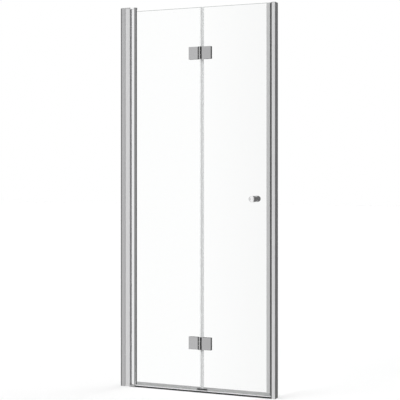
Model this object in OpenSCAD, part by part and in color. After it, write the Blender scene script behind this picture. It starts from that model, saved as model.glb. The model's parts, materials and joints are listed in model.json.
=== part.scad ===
// Bifold shower door for a recess between two walls: a pivoting leaf and a folding
// leaf of clear glass, carried by a round post between telescoping wall profiles.
// X runs along the doorway from the pivot side to the strike side, +Y points into
// the shower and +Z up. The origin is at tray level in the middle of the doorway,
// in the middle plane of the glass. All sizes are in millimetres.

/* [Doorway] */
// Width from wall to wall
opening_w = 800; // [700:5:1000]
// Height of the pivot side
pivot_side_h = 1850; // [1700:10:2000]
// How far the glass and the strike side end below the top of the pivot side
top_drop = 18; // [14:1:40]

/* [Wall channels] */
// Depth of the channels across the doorway's plane
channel_depth = 40; // [36:1:50]
// Wall thickness of the channels
channel_t = 1.8; // [1.2:0.1:2.5]
// Reach of the pivot-side channel from its wall
channel_reach = 24; // [20:1:30]
// Reach of the strike-side channel from its wall
strike_channel_reach = 18; // [16:1:24]
// Chamfer of the pivot-side channel and its cap at the wall
channel_chamfer = 1.2; // [0.6:0.2:7]
// Chamfer of the strike-side channel at the wall
strike_channel_chamfer = 1.2; // [0.6:0.2:2]
// Diameter of the wall screw holes
wall_hole_d = 5; // [4:0.5:6]
// Distance between the wall screw holes of a channel, three in a row about its middle
wall_hole_pitch = 800; // [500:10:820]
// Thickness of the top caps
cap_t = 3; // [2:0.5:5]
// Depth of the plugs under the top caps
cap_plug_h = 10; // [6:1:16]
// Width of the plug under the pivot-side cap
cap_plug_w = 24; // [16:1:25]

/* [Sliding profiles] */
// How far the frame profile stands out of its channel
profile_reach = 25; // [18:1:35]
// Length of the frame profile inside its channel
profile_insert = 14; // [11:1:16]
// How far the strike profile stands out of its channel
strike_reach = 7; // [5:0.5:14]
// Length of the strike profile inside its channel
strike_insert = 12; // [9:0.5:13]
// Size of the strike profile's sloping shoulders
strike_shoulder = 6.5; // [3:0.5:7]
// Wall thickness of both profiles
profile_t = 1.6; // [1.2:0.1:2]
// Thickness of the frame profile's nose, beside the post
nose_t = 3; // [2:0.5:4.5]
// Clearance between a profile and each side of its channel
slide_gap = 0.3; // [0.2:0.05:0.6]
// Corner radius of the frame profile
profile_corner_r = 1.5; // [0.5:0.25:1.5]

/* [Threshold] */
// Height of the threshold rail
rail_h = 8; // [7:0.5:12]
// Height of the rail's outer edge
rail_front_h = 7; // [4:0.5:7]
// Width of the slope behind the rail's outer edge
rail_slope_w = 10; // [4:0.5:14]
// Width of the rail's flat top, from its outer edge
rail_flat_w = 27; // [24:1:32]
// Height of the rail's inner edge
rail_inner_h = 3.2; // [2:0.2:5]
// Clearance between the rail and the pieces at its ends
rail_end_gap = 0.3; // [0.2:0.1:1]

/* [Pivot] */
// Diameter of the pivot post
post_d = 27; // [25:0.5:32]
// Clearance between the post and the frame profile
post_gap = 1; // [0.6:0.1:2]
// Least wall around the hollows in the post
post_web_t = 1.75; // [1.5:0.05:2.2]
// Thickness of the post caps
post_cap_t = 2; // [1.5:0.25:4]
// Clearance above and below the post
post_end_gap = 0.4; // [0.3:0.1:1]
// Diameter of the pivot pins
pivot_pin_d = 8; // [6:0.5:9]
// Length of a pivot pin inside the post
pivot_pin_grip = 28; // [15:1:60]
// Wall thickness of the pivot bushes
bush_t = 2.5; // [1.5:0.25:3]
// Thickness of the metal left past the end of a pivot pin
pin_floor_t = 1; // [0.8:0.2:2]
// Thickness of the top pivot bracket
bracket_t = 8; // [6:0.5:12]
// Distance from the pivot axis to the free end of foot and bracket
foot_reach = 15; // [14:0.5:16.5]
// How far the pivot foot stands out in front of the channels
foot_front = 6; // [0:0.5:10]
// Corner radius of the pivot foot
foot_corner_r = 4; // [2:0.5:6]
// Width of the neck that joins foot and bracket to their tongues
neck_w = 24; // [16:1:26]
// Length of the tongues inside the frame profile
tongue_h = 30; // [22:1:50]
// Clearance around the necks and tongues
tongue_gap = 0.3; // [0.2:0.05:0.5]

/* [Glass] */
// Thickness of the glass
glass_t = 6; // [5:1:8]
// Height of the glass above the threshold rail
glass_lift = 5; // [4:0.5:10]
// How far the first pane runs past the fold axis
pane_a_past_axis = 2.2; // [0:0.2:2.2]
// Distance from the fold axis to the second pane
pane_b_from_axis = 3.8; // [3.8:0.2:8]
// Wall thickness of the glazing gasket
gasket_t = 0.9; // [0.6:0.1:1.2]
// How far the gasket's edge stands out of the post
gasket_lip = 1; // [1:0.2:6]

/* [Fold hinges] */
// How far the fold axis lies past the middle between pivot and closing edge
fold_shift = 0.6; // [0:0.2:4]
// Height of the hinge plates
hinge_h = 60; // [50:1:70]
// Distance from the glass ends to the middle of each hinge
hinge_inset = 218; // [150:1:350]
// Distance from the fold axis to the outer end of the plates
hinge_reach = 57.5; // [52:0.5:70]
// Distance from the fold axis to the inner end of the plates
hinge_gap = 9.5; // [8.5:0.5:12]
// Thickness of the outer plates
plate_t = 6; // [5.5:0.5:8]
// Thickness of the inner clamp plates
clamp_t = 4; // [3.5:0.5:6]
// Thickness of the clamp pads
pad_t = 1; // [0.5:0.25:1.5]
// How far the pads stop short of the plates' edges
pad_inset = 0.3; // [0.1:0.1:2]
// Half the gap that stays between the outer plates of a folded door
fold_gap = 2; // [1:0.5:4]
// Chamfer around the plates' faces
plate_chamfer = 0.6; // [0.3:0.1:1]
// Diameter of the hinge barrel
barrel_d = 11; // [10.4:0.2:12.4]
// Thickness of the webs that join the knuckles to the plates
knuckle_web_t = 4; // [3.5:0.5:5]
// Height of the middle knuckle
mid_knuckle_h = 18.6; // [14:0.2:24]
// Gap between two knuckles
knuckle_gap = 1; // [0.8:0.1:1.5]
// Diameter of the hinge pins
hinge_pin_d = 5.5; // [5:0.5:6.5]
// How far the hinge pins stop short of the barrel's ends
hinge_pin_inset = 0.5; // [0.2:0.1:2]
// Diameter of the clamp screws
clamp_screw_d = 6; // [5:0.5:7]
// Distance between the two clamp screws of a plate
clamp_screw_pitch = 28; // [24:1:32]
// Distance from the fold axis to the clamp screws
clamp_screw_x = 37; // [30:1:40]
// Size of the clamp screws' hexagon sockets across their corners
clamp_socket_d = 4.2; // [3:0.2:4.6]
// Depth of the blind screw holes in the outer plates
blind_hole_l = 4.4; // [3:0.2:4.6]
// Diameter of the holes in the glass at the clamp screws
glass_hole_d = 12; // [10:0.5:14]

/* [Seals] */
// Wall thickness of the clip-on seals
clip_t = 1.2; // [0.8:0.1:1.5]
// Height of the bottom seals on the glass
bottom_clip_h = 11; // [8:0.5:16]
// How much lower their inner legs end
inner_leg_drop = 2; // [0.5:0.5:4]
// Gap between the post and the first bottom seal
seal_post_gap = 4.4; // [0.6:0.2:6]
// Clearance between the bottom seals' lips and the threshold rail
lip_gap = 1.2; // [0.6:0.1:1.2]
// Thickness of the seals' lips
lip_t = 1; // [0.7:0.1:1.3]
// How far the sloping lips reach into the shower past the seals
lip_run = 7; // [4:0.5:10]
// Length of the slant at the closing end of the second bottom seal
slant_l = 18; // [12:1:30]
// How far that slant falls
slant_drop = 2; // [1:0.5:10]
// Width of the fold seal on the glass
fold_clip_w = 13.2; // [12:0.2:20]
// Length of the fold seal's fin behind the first pane
fin_l = 8; // [5:0.5:12]
// Space left between the fold seal and the hinges
seal_notch = 1.5; // [1:0.25:4]
// Width of the magnet seal on the glass
door_clip_w = 5.2; // [5:0.2:12]
// Depth of the magnet seal past the glass edge
door_pocket_l = 12.3; // [8:0.1:14]
// How far the strike seal stands out of its profile
strike_seal_l = 4.2; // [3.6:0.1:9]
// Width of the two magnet seals across the doorway's plane
pocket_w = 10; // [9:0.5:14]
// Wall thickness around the magnet strips
pocket_t = 1; // [0.7:0.1:1.4]
// Gap between the two closed magnet seals
magnet_gap = 1.5; // [1.2:0.1:2.5]
// Width of the strike seal's neck
seal_neck_w = 4; // [3:0.5:5]
// Width and thickness of the strike seal's anchor behind the profile's nose
anchor_w = 8; // [6:0.5:10]
anchor_t = 1.5; // [1:0.1:2]

/* [Drip stops] */
// Reach of the short stop under the first pane from the fold axis
drip_reach_a = 14.5; // [8:0.5:20]
// Reach of the long stop under the second pane from the fold axis
drip_reach_b = 35.5; // [28:0.5:50]
// Gap between each stop and the fold axis
drip_axis_gap = 0.4; // [0.3:0.1:1]
// Thickness of the drip stops in front of the bottom seals
drip_t = 3.8; // [2:0.2:4.4]
// Height of the drip stops
drip_h = 5.5; // [3:0.5:6]
// Rise of the drip stops' lower edges above the tips of the bottom seals' lips
drip_rise = 1.5; // [0:0.5:3]

/* [Knob] */
// Diameter of the knob
knob_d = 28.5; // [24:0.5:36]
// Length of each half of the knob
knob_l = 42; // [20:1:45]
// Diameter of the knob's neck at the glass
knob_neck_d = 20; // [18:1:22]
// Length of the knob's neck
knob_neck_l = 2.5; // [1.5:0.5:5]
// Chamfer at the knob's rims
knob_chamfer = 1; // [0.5:0.25:2]
// Diameter of the shallow dish in the knob's face
knob_dish_d = 18; // [14:1:20]
// Depth of the dish
knob_dish_l = 0.6; // [0.3:0.1:1.2]
// Distance from the second pane's closing edge to the knob
knob_from_edge = 64; // [45:1:120]
// Height of the knob above the tray
knob_z = 921; // [800:1:1100]
// Thickness of the knob washers
knob_washer_t = 1; // [0.5:0.25:2]
// Diameter of the knob stud
knob_stud_d = 6; // [5:0.5:8]
// Depth of the stud in each half of the knob
knob_stud_grip = 14; // [8:1:18]
// Diameter of the knob's hole in the glass
knob_hole_d = 10; // [9:0.5:14]

/* [Small screws] */
// Diameter of the adjusting and bracket screws
screw_d = 3.5; // [3:0.25:4]
// Diameter of their pan heads
screw_head_d = 7; // [6:0.25:8]
// Height of their pan heads
screw_head_h = 2.2; // [1.8:0.1:2.8]
// Size of their hexagon sockets across the corners
screw_socket_d = 3.5; // [2:0.25:4]
// Length of their shanks
screw_l = 9; // [7:0.5:12]
// Number of adjusting screws on each side
adjust_count = 3; // [2:1:4]
// Distance of the outer adjusting screws from the ends of the glass
adjust_inset = 150; // [100:5:300]
// Distance from the pivot-side wall to its adjusting screws
adjust_x = 17; // [15:0.5:19]
// Distance from the strike-side wall to its adjusting screws
strike_adjust_x = 12; // [10.5:0.5:13]
// Distance from the frame profile's nose to the bracket screws
bracket_screw_x = 14; // [11:0.5:16]
// Wall thickness of the screw covers
cover_t = 1.2; // [0.8:0.1:2]

/* [Fits] */
// Radial clearance of a shaft that turns in its hole
run_gap = 0.05; // [0.02:0.01:0.09]
// Radial clearance of a piece fixed in its hole, and of seals on the glass
fix_gap = 0.03; // [0.02:0.01:0.1]
// Clearance around loose screws
screw_gap = 0.1; // [0.05:0.05:0.3]
// Clearance between fixed pieces that only stand close together
meet_gap = 0.3; // [0.2:0.05:0.5]

/* [Hidden] */
$fn = 64;
past = 1; // how far a cutter reaches past a face

half_depth = channel_depth / 2;
wall_a_x = -opening_w / 2;
wall_b_x = opening_w / 2;

channel_top = pivot_side_h - cap_t;
glass_top = pivot_side_h - top_drop;
strike_top = glass_top - cap_t;
glass_bottom = rail_h + glass_lift;

profile_half = half_depth - channel_t - slide_gap;
profile_back = channel_reach - profile_insert;
profile_nose = channel_reach + profile_reach;
strike_back = strike_channel_reach - strike_insert;
strike_nose = strike_channel_reach + strike_reach;

nose_x = wall_a_x + profile_nose;
strike_face_x = wall_b_x - strike_nose;
hollow_half = profile_half - profile_t;

pivot_x = nose_x + post_gap + post_d / 2;
post_bottom = rail_h + post_end_gap + post_cap_t;
bracket_bottom = pivot_side_h - bracket_t;
post_top = bracket_bottom - post_end_gap - post_cap_t;
pin_r = pivot_pin_d / 2;
bush_r = pin_r + run_gap + bush_t;
pin_bottom = pin_floor_t + meet_gap;
pin_top = pivot_side_h - pin_floor_t - meet_gap;
core_r = (post_d / 2 - pin_r) / 2 - post_web_t;
core_y = (post_d / 2 + pin_r) / 2;
slot_x = pivot_x + pin_r + post_web_t;
slot_half = glass_t / 2 + gasket_t;
gasket_x1 = pivot_x + sqrt(pow(post_d / 2, 2) - pow(slot_half, 2)) + gasket_lip;
foot_x = pivot_x + foot_reach;
foot_back_x = nose_x + tongue_gap;
tongue_front_x = nose_x - nose_t - tongue_gap;
tongue_back_x = wall_a_x + profile_back + past;
tongue_half = hollow_half - tongue_gap;

seal_face_x = strike_face_x - strike_seal_l;
magnet_face_x = seal_face_x - magnet_gap;
fold_x = (pivot_x + magnet_face_x) / 2 + fold_shift;

glass_half = glass_t / 2;
pane_a_x0 = slot_x + gasket_t;
pane_b_x0 = fold_x + pane_b_from_axis;
fold_seal_x0 = pane_b_x0 - fix_gap - clip_t;
pane_a_x1 = min(fold_x + pane_a_past_axis, fold_seal_x0 - meet_gap);
pane_b_x1 = magnet_face_x - door_pocket_l;

pad_y = glass_half + pad_t;
plate_y = pad_y + plate_t;
clamp_y = pad_y + clamp_t;
axis_y = -(plate_y + fold_gap);
barrel_r = barrel_d / 2;
hinge_pin_r = hinge_pin_d / 2;
clamp_screw_r = clamp_screw_d / 2;
screw_hole_r = clamp_screw_r + screw_gap;
hinge_z_low = glass_bottom + hinge_inset;
hinge_z_high = glass_top - hinge_inset;
outer_knuckle_z = mid_knuckle_h / 2 + knuckle_gap;

clip_y0 = glass_half + fix_gap;
clip_y1 = clip_y0 + clip_t;
clip_top = glass_bottom + bottom_clip_h;
base_z = glass_bottom - fix_gap - clip_t;
lip_z = rail_h + lip_gap;
drip_z = lip_z + drip_rise;
fold_seal_x1 = pane_b_x0 + fold_clip_w;
bottom_a_x0 = max(gasket_x1 + 2 * meet_gap, pivot_x + post_d / 2 + seal_post_gap);
bottom_b_x0 = fold_seal_x1 + seal_notch;
bottom_b_x1 = magnet_face_x - past;
door_seal_z = clip_top + 2 * meet_gap;

knob_x = pane_b_x1 - knob_from_edge;
knob_base_y = glass_half + knob_washer_t;
knob_face_y = knob_base_y + knob_l;
adjust_pitch = (glass_top - glass_bottom - 2 * adjust_inset) / (adjust_count - 1);
foot_screw_z = rail_h + (tongue_h - rail_h) / 2;

aluminium = [0.80, 0.80, 0.81];
chrome = [0.70, 0.70, 0.72];
steel = [0.60, 0.60, 0.62];
glass = [0.90, 0.95, 0.95, 0.3];
clear_vinyl = [0.82, 0.84, 0.84];
black_rubber = [0.08, 0.08, 0.08];
white_nylon = [0.92, 0.92, 0.90];
grey_plastic = [0.62, 0.62, 0.63];
magnet_black = [0.15, 0.15, 0.16];

// ---- helpers ----

// A box between two corners
module box(lo, hi) {
    translate(lo)
        cube(hi - lo);
}

// A round bar along X, Y or Z, from one height on its axis to another
module rod_x(x0, x1, y, z, r) {
    translate([x0, y, z])
        rotate([0, 90, 0])
            cylinder(h = x1 - x0, r = r);
}
module rod_y(x, y0, y1, z, r) {
    translate([x, y0, z])
        rotate([-90, 0, 0])
            cylinder(h = y1 - y0, r = r);
}
module rod_z(x, y, z0, z1, r) {
    translate([x, y, z0])
        cylinder(h = z1 - z0, r = r);
}

// A plan outline raised between two heights
module upright(z0, z1) {
    translate([0, 0, z0])
        linear_extrude(z1 - z0)
            children();
}

// A section drawn in Y and Z, run along X
module lengthwise(x0, x1) {
    translate([x0, 0, 0])
        rotate([90, 0, 90])
            linear_extrude(x1 - x0)
                children();
}

// A rectangle with rounded corners
module rounded_rect(x0, y0, x1, y1, r) {
    translate([x0 + r, y0])
        square([x1 - x0 - 2 * r, y1 - y0]);
    translate([x0, y0 + r])
        square([x1 - x0, y1 - y0 - 2 * r]);
    for (x = [x0 + r, x1 - r], y = [y0 + r, y1 - r])
        translate([x, y])
            circle(r);
}

// Places its children on the left wall, or mirrored onto the right one
module at_left_wall() {
    translate([wall_a_x, 0, 0])
        children();
}
module at_right_wall() {
    translate([wall_b_x, 0, 0])
        mirror([1, 0, 0])
            children();
}

// Heights of the adjusting screws
function adjust_z(i) = glass_bottom + adjust_inset + i * adjust_pitch;

// ---- wall side ----

// Outline of a channel, moved inwards by a wall thickness, with chamfers c at the wall
module channel_outline(reach, inset, c) {
    half = half_depth - inset;
    polygon([
        [reach, -half], [inset + c, -half], [inset, -half + c],
        [inset, half - c], [inset + c, half], [reach, half]
    ]);
}

// U section with its web on the wall at x = 0, as thick at the chamfers as elsewhere
module channel_section(reach, chamfer) {
    difference() {
        channel_outline(reach, 0, chamfer);
        channel_outline(reach + past, channel_t, max(chamfer - (2 - sqrt(2)) * channel_t, run_gap));
    }
}

module wall_channel(reach, chamfer, top, screw_x) {
    difference() {
        upright(0, top)
            channel_section(reach, chamfer);
        for (i = [-1, 0, 1])
            rod_x(-past, channel_t + past, 0, top / 2 + i * wall_hole_pitch, wall_hole_d / 2);
        for (i = [0 : adjust_count - 1])
            rod_y(screw_x, profile_half, half_depth + past, adjust_z(i), screw_d / 2 + screw_gap);
    }
}

module wall_channel_left() {
    color(aluminium)
        at_left_wall()
            wall_channel(channel_reach, channel_chamfer, channel_top, adjust_x);
}

module wall_channel_right() {
    color(aluminium)
        at_right_wall()
            wall_channel(strike_channel_reach, strike_channel_chamfer, strike_top,
                strike_adjust_x);
}

// U section, open to the wall, with rounded corners at its nose
module frame_section() {
    difference() {
        intersection() {
            rounded_rect(profile_back - profile_reach, -profile_half, profile_nose, profile_half,
                profile_corner_r);
            translate([profile_back, -half_depth])
                square([profile_nose, channel_depth]);
        }
        translate([profile_back - past, -hollow_half])
            square([profile_nose - nose_t - profile_back + past, 2 * hollow_half]);
    }
}

module frame_profile_left() {
    notch_half = neck_w / 2 + tongue_gap;
    notch_x0 = profile_nose - nose_t - past;
    notch_x1 = profile_nose + past;
    color(aluminium)
        at_left_wall()
            difference() {
                upright(0, channel_top)
                    frame_section();
                box([notch_x0, -notch_half, -past], [notch_x1, notch_half, rail_h + tongue_gap]);
                box([notch_x0, -notch_half, bracket_bottom - tongue_gap],
                    [notch_x1, notch_half, channel_top + past]);
                for (i = [0 : adjust_count - 1])
                    rod_y(adjust_x, 0, half_depth, adjust_z(i), screw_d / 2 + screw_gap);
                for (z = [foot_screw_z, pivot_side_h - foot_screw_z])
                    rod_y(profile_nose - bracket_screw_x, 0, half_depth, z, screw_d / 2 + screw_gap);
            }
}

// U section with sloping shoulders and a T-slot in its nose for the seal's anchor
module strike_section() {
    shoulder_x = strike_nose - strike_shoulder;
    inner_nose = strike_nose - profile_t;
    t_slot_x = inner_nose - anchor_t - 2 * fix_gap;
    t_slot_half = anchor_w / 2 + fix_gap;
    difference() {
        union() {
            difference() {
                polygon([
                    [strike_back, -profile_half], [shoulder_x, -profile_half],
                    [strike_nose, -profile_half + strike_shoulder],
                    [strike_nose, profile_half - strike_shoulder],
                    [shoulder_x, profile_half], [strike_back, profile_half]
                ]);
                polygon([
                    [strike_back - past, -hollow_half], [shoulder_x - profile_t / 2, -hollow_half],
                    [inner_nose, -hollow_half + strike_shoulder - profile_t / 2],
                    [inner_nose, hollow_half - strike_shoulder + profile_t / 2],
                    [shoulder_x - profile_t / 2, hollow_half], [strike_back - past, hollow_half]
                ]);
            }
            translate([t_slot_x - profile_t, -t_slot_half - profile_t])
                square([strike_nose - t_slot_x, 2 * (t_slot_half + profile_t)]);
        }
        translate([t_slot_x, -t_slot_half])
            square([inner_nose - t_slot_x, 2 * t_slot_half]);
        translate([inner_nose - past, -seal_neck_w / 2 - fix_gap])
            square([profile_t + 2 * past, seal_neck_w + 2 * fix_gap]);
    }
}

module strike_profile() {
    color(aluminium)
        at_right_wall()
            difference() {
                upright(rail_h, strike_top)
                    strike_section();
                for (i = [0 : adjust_count - 1])
                    rod_y(strike_adjust_x, 0, half_depth, adjust_z(i), screw_d / 2 + screw_gap);
            }
}

// Magnet seal of the strike side: a pocket in front of the nose, a neck through its slot
// and an anchor behind it
module strike_seal() {
    inner_nose = strike_nose - profile_t;
    color(clear_vinyl)
        at_right_wall()
            upright(rail_h, strike_top)
                difference() {
                    union() {
                        translate([strike_nose + fix_gap, -pocket_w / 2])
                            square([strike_seal_l - fix_gap, pocket_w]);
                        translate([inner_nose - fix_gap - anchor_t, -seal_neck_w / 2])
                            square([profile_t + 3 * fix_gap + anchor_t, seal_neck_w]);
                        translate([inner_nose - fix_gap - anchor_t, -anchor_w / 2])
                            square([anchor_t, anchor_w]);
                    }
                    translate([strike_nose + fix_gap + pocket_t, -pocket_w / 2 + pocket_t])
                        square([strike_seal_l - fix_gap - 2 * pocket_t, pocket_w - 2 * pocket_t]);
                }
}

module strike_magnet() {
    slack = pocket_t + fix_gap;
    color(magnet_black)
        at_right_wall()
            upright(rail_h, strike_top)
                translate([strike_nose + fix_gap + slack, -pocket_w / 2 + slack])
                    square([strike_seal_l - fix_gap - 2 * slack, pocket_w - 2 * slack]);
}

// Top caps: a plate over channel and profile, with a plug that drops inside
module top_cap_left() {
    color(grey_plastic)
        at_left_wall() {
            upright(channel_top, pivot_side_h)
                channel_outline(profile_nose, 0, channel_chamfer);
            box([channel_t + tongue_gap, -cap_plug_w / 2, channel_top - cap_plug_h],
                [profile_back - tongue_gap, cap_plug_w / 2, channel_top]);
        }
}

module top_cap_right() {
    shoulder_x = strike_nose - strike_shoulder;
    color(grey_plastic)
        at_right_wall() {
            upright(strike_top, glass_top)
                polygon([
                    [0, -half_depth], [strike_channel_reach, -half_depth],
                    [strike_nose, -half_depth + strike_nose - strike_channel_reach],
                    [strike_nose, half_depth - strike_nose + strike_channel_reach],
                    [strike_channel_reach, half_depth], [0, half_depth]
                ]);
            box([strike_back, -hollow_half + tongue_gap, strike_top - cap_plug_h],
                [shoulder_x - profile_t, hollow_half - tongue_gap, strike_top]);
        }
}

// Pan-head screw that enters along -Y at a face
module pan_screw(x, face_y, z) {
    difference() {
        union() {
            rod_y(x, face_y, face_y + screw_head_h, z, screw_head_d / 2);
            rod_y(x, face_y - screw_l, face_y, z, screw_d / 2);
        }
        translate([x, face_y + screw_head_h / 2, z])
            rotate([-90, 0, 0])
                cylinder(h = screw_head_h, r = screw_socket_d / 2, $fn = 6);
    }
}

module adjusting_screws(x) {
    color(steel)
        for (i = [0 : adjust_count - 1])
            pan_screw(x, half_depth, adjust_z(i));
}

module adjusting_screws_left() {
    at_left_wall()
        adjusting_screws(adjust_x);
}

module adjusting_screws_right() {
    at_right_wall()
        adjusting_screws(strike_adjust_x);
}

// Round covers that snap over the adjusting screws
module screw_covers(x) {
    inner_r = screw_head_d / 2 + screw_gap;
    inner_h = screw_head_h + screw_gap;
    color(chrome)
        for (i = [0 : adjust_count - 1])
            difference() {
                rod_y(x, half_depth, half_depth + inner_h + cover_t, adjust_z(i), inner_r + cover_t);
                rod_y(x, half_depth - past, half_depth + inner_h, adjust_z(i), inner_r);
            }
}

module screw_covers_left() {
    at_left_wall()
        screw_covers(adjust_x);
}

module screw_covers_right() {
    at_right_wall()
        screw_covers(strike_adjust_x);
}

// ---- threshold and pivots ----

// Low rail with a flat top under the leaves and a slope that drains into the tray
module threshold_rail() {
    edge = plate_chamfer;
    flat_y = -half_depth + rail_flat_w;
    color(aluminium)
        lengthwise(foot_x + rail_end_gap, wall_b_x - strike_channel_reach - rail_end_gap)
            polygon([
                [-half_depth, 0], [-half_depth, rail_front_h - edge],
                [-half_depth + edge, rail_front_h], [rail_slope_w - half_depth, rail_h],
                [flat_y, rail_h], [half_depth, rail_inner_h], [half_depth, 0]
            ]);
}

// Foot under the post, with a neck and a tongue that enter the frame profile
module bottom_pivot_foot() {
    color(grey_plastic)
        difference() {
            union() {
                upright(0, rail_h)
                    rounded_rect(foot_back_x, -half_depth - foot_front, foot_x, half_depth, foot_corner_r);
                box([tongue_front_x - past, -neck_w / 2, 0],
                    [foot_back_x + foot_corner_r, neck_w / 2, rail_h]);
                box([tongue_back_x, -tongue_half, 0], [tongue_front_x, tongue_half, tongue_h]);
            }
            rod_z(pivot_x, 0, pin_floor_t, rail_h + past, bush_r + fix_gap);
            rod_y(nose_x - bracket_screw_x, 0, half_depth, foot_screw_z, screw_d / 2 + screw_gap);
        }
}

// Bracket over the post, round like the post at its free end
module top_pivot_bracket() {
    tongue_top = channel_top - tongue_gap;
    color(aluminium)
        difference() {
            union() {
                upright(bracket_bottom, pivot_side_h)
                    intersection() {
                        rounded_rect(pivot_x - 2 * foot_reach, -foot_reach, foot_x, foot_reach,
                            foot_reach - meet_gap);
                        translate([foot_back_x, -foot_reach])
                            square([2 * foot_reach, 2 * foot_reach]);
                    }
                box([tongue_front_x - past, -neck_w / 2, bracket_bottom],
                    [foot_back_x + past, neck_w / 2, tongue_top]);
                box([tongue_back_x, -tongue_half, pivot_side_h - tongue_h],
                    [tongue_front_x, tongue_half, tongue_top]);
            }
            rod_z(pivot_x, 0, bracket_bottom - past, pivot_side_h - pin_floor_t, bush_r + fix_gap);
            rod_y(nose_x - bracket_screw_x, 0, half_depth, pivot_side_h - foot_screw_z,
                screw_d / 2 + screw_gap);
        }
}

module pivot_bush(z0, z1) {
    color(white_nylon)
        difference() {
            rod_z(pivot_x, 0, z0, z1, bush_r);
            rod_z(pivot_x, 0, z0 - past, z1 + past, pin_r + run_gap);
        }
}

module bottom_pivot_bush() {
    pivot_bush(pin_floor_t, rail_h);
}

module top_pivot_bush() {
    pivot_bush(bracket_bottom, pivot_side_h - pin_floor_t);
}

module bracket_screws() {
    color(steel)
        for (z = [foot_screw_z, pivot_side_h - foot_screw_z])
            pan_screw(nose_x - bracket_screw_x, profile_half, z);
}

// ---- first leaf ----

// Round post with a glazing slot, a bore for the pins and two side hollows
module post_section() {
    difference() {
        circle(post_d / 2);
        circle(pin_r + fix_gap);
        translate([slot_x - pivot_x, -slot_half])
            square([post_d, 2 * slot_half]);
        for (y = [-core_y, core_y])
            translate([0, y])
                circle(core_r);
    }
}

module pivot_post() {
    color(aluminium)
        translate([pivot_x, 0, 0])
            upright(post_bottom, post_top)
                post_section();
}

// Disc under or over the post, with two pegs in the post's hollows
module post_cap(z0, z1, peg_z0, peg_z1) {
    color(chrome) {
        difference() {
            rod_z(pivot_x, 0, z0, z1, post_d / 2);
            rod_z(pivot_x, 0, z0 - past, z1 + past, pin_r + fix_gap);
        }
        for (y = [-core_y, core_y])
            rod_z(pivot_x, y, peg_z0, peg_z1, core_r - fix_gap);
    }
}

module bottom_post_cap() {
    post_cap(post_bottom - post_cap_t, post_bottom, post_bottom - post_cap_t / 2, post_bottom + cap_plug_h);
}

module top_post_cap() {
    post_cap(post_top, post_top + post_cap_t, post_top - cap_plug_h, post_top + post_cap_t / 2);
}

module bottom_pivot_pin() {
    color(steel)
        rod_z(pivot_x, 0, pin_bottom, post_bottom + pivot_pin_grip, pin_r);
}

module top_pivot_pin() {
    color(steel)
        rod_z(pivot_x, 0, post_top - pivot_pin_grip, pin_top, pin_r);
}

// U-shaped gasket around the first pane's edge, in the post's slot
module glazing_gasket() {
    color(black_rubber)
        upright(glass_bottom, glass_top)
            difference() {
                translate([slot_x + fix_gap, -slot_half + fix_gap])
                    square([gasket_x1 - slot_x, 2 * (slot_half - fix_gap)]);
                translate([pane_a_x0 - fix_gap, -glass_half - fix_gap])
                    square([post_d, glass_t + 2 * fix_gap]);
            }
}

module pane(x0, x1, hinge_side) {
    screw_x = fold_x + hinge_side * clamp_screw_x;
    difference() {
        box([x0, -glass_half, glass_bottom], [x1, glass_half, glass_top]);
        for (zc = [hinge_z_low, hinge_z_high], dz = [-1, 1] * clamp_screw_pitch / 2)
            rod_y(screw_x, -glass_t, glass_t, zc + dz, glass_hole_d / 2);
        rod_y(knob_x, -glass_t, glass_t, knob_z, knob_hole_d / 2);
    }
}

module glass_pane_a() {
    color(glass)
        pane(pane_a_x0, pane_a_x1, -1);
}

module glass_pane_b() {
    color(glass)
        pane(pane_b_x0, pane_b_x1, 1);
}

// Clip on the lower edge of the glass, with an upright lip outside and a sloping one inside
module bottom_seal_section() {
    groove_z = glass_bottom - fix_gap;
    inner_top = clip_top - inner_leg_drop;
    tip_y = clip_y1 + lip_run;
    polygon([
        [-clip_y1, lip_z], [-clip_y1, clip_top], [-clip_y0, clip_top], [-clip_y0, groove_z],
        [clip_y0, groove_z], [clip_y0, inner_top], [clip_y1, inner_top],
        [clip_y1, base_z + clip_t / 2],
        [tip_y, lip_z], [tip_y - 2 * lip_t, lip_z], [clip_y1 - lip_t, base_z],
        [-clip_y1 + lip_t, base_z], [-clip_y1 + lip_t, lip_z]
    ]);
}

module bottom_seal_a() {
    color(clear_vinyl)
        lengthwise(bottom_a_x0, fold_x)
            bottom_seal_section();
}

module bottom_seal_b() {
    color(clear_vinyl)
        difference() {
            lengthwise(bottom_b_x0, bottom_b_x1)
                bottom_seal_section();
            translate([0, channel_depth, 0])
                rotate([90, 0, 0])
                    linear_extrude(2 * channel_depth)
                        polygon([
                            [bottom_b_x1 - slant_l, clip_top + past], [bottom_b_x1 - slant_l, clip_top],
                            [bottom_b_x1 + past, clip_top - slant_drop],
                            [bottom_b_x1 + past, clip_top + past]
                        ]);
        }
}

// Rubber stop in front of a bottom seal, at the fold
module drip_stop(x0, x1) {
    color(black_rubber)
        box([x0, -clip_y1 - fix_gap - drip_t, drip_z], [x1, -clip_y1 - fix_gap, drip_z + drip_h]);
}

module drip_stop_a() {
    drip_stop(fold_x - drip_reach_a, fold_x - drip_axis_gap);
}

module drip_stop_b() {
    drip_stop(fold_x + drip_axis_gap, fold_x + drip_reach_b);
}

// ---- fold hinges ----

// A plate on the glass from yb to yf, with a chamfer around its face at yf
module bevelled_plate(x0, x1, yb, yf, z0, z1) {
    y_edge = yf > yb ? yf - plate_chamfer : yf + plate_chamfer;
    c = plate_chamfer;
    intersection() {
        upright(z0, z1)
            polygon([[x0, yb], [x1, yb], [x1, y_edge], [x1 - c, yf], [x0 + c, yf], [x0, y_edge]]);
        lengthwise(x0, x1)
            polygon([[yb, z0], [yb, z1], [y_edge, z1], [yf, z1 - c], [yf, z0 + c], [y_edge, z0]]);
    }
}

// Ends of a hinge plate along X: side is -1 on the first pane and 1 on the second
function plate_x0(side) = fold_x + (side > 0 ? hinge_gap : -hinge_reach);
function plate_x1(side) = fold_x + (side > 0 ? hinge_reach : -hinge_gap);

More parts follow.
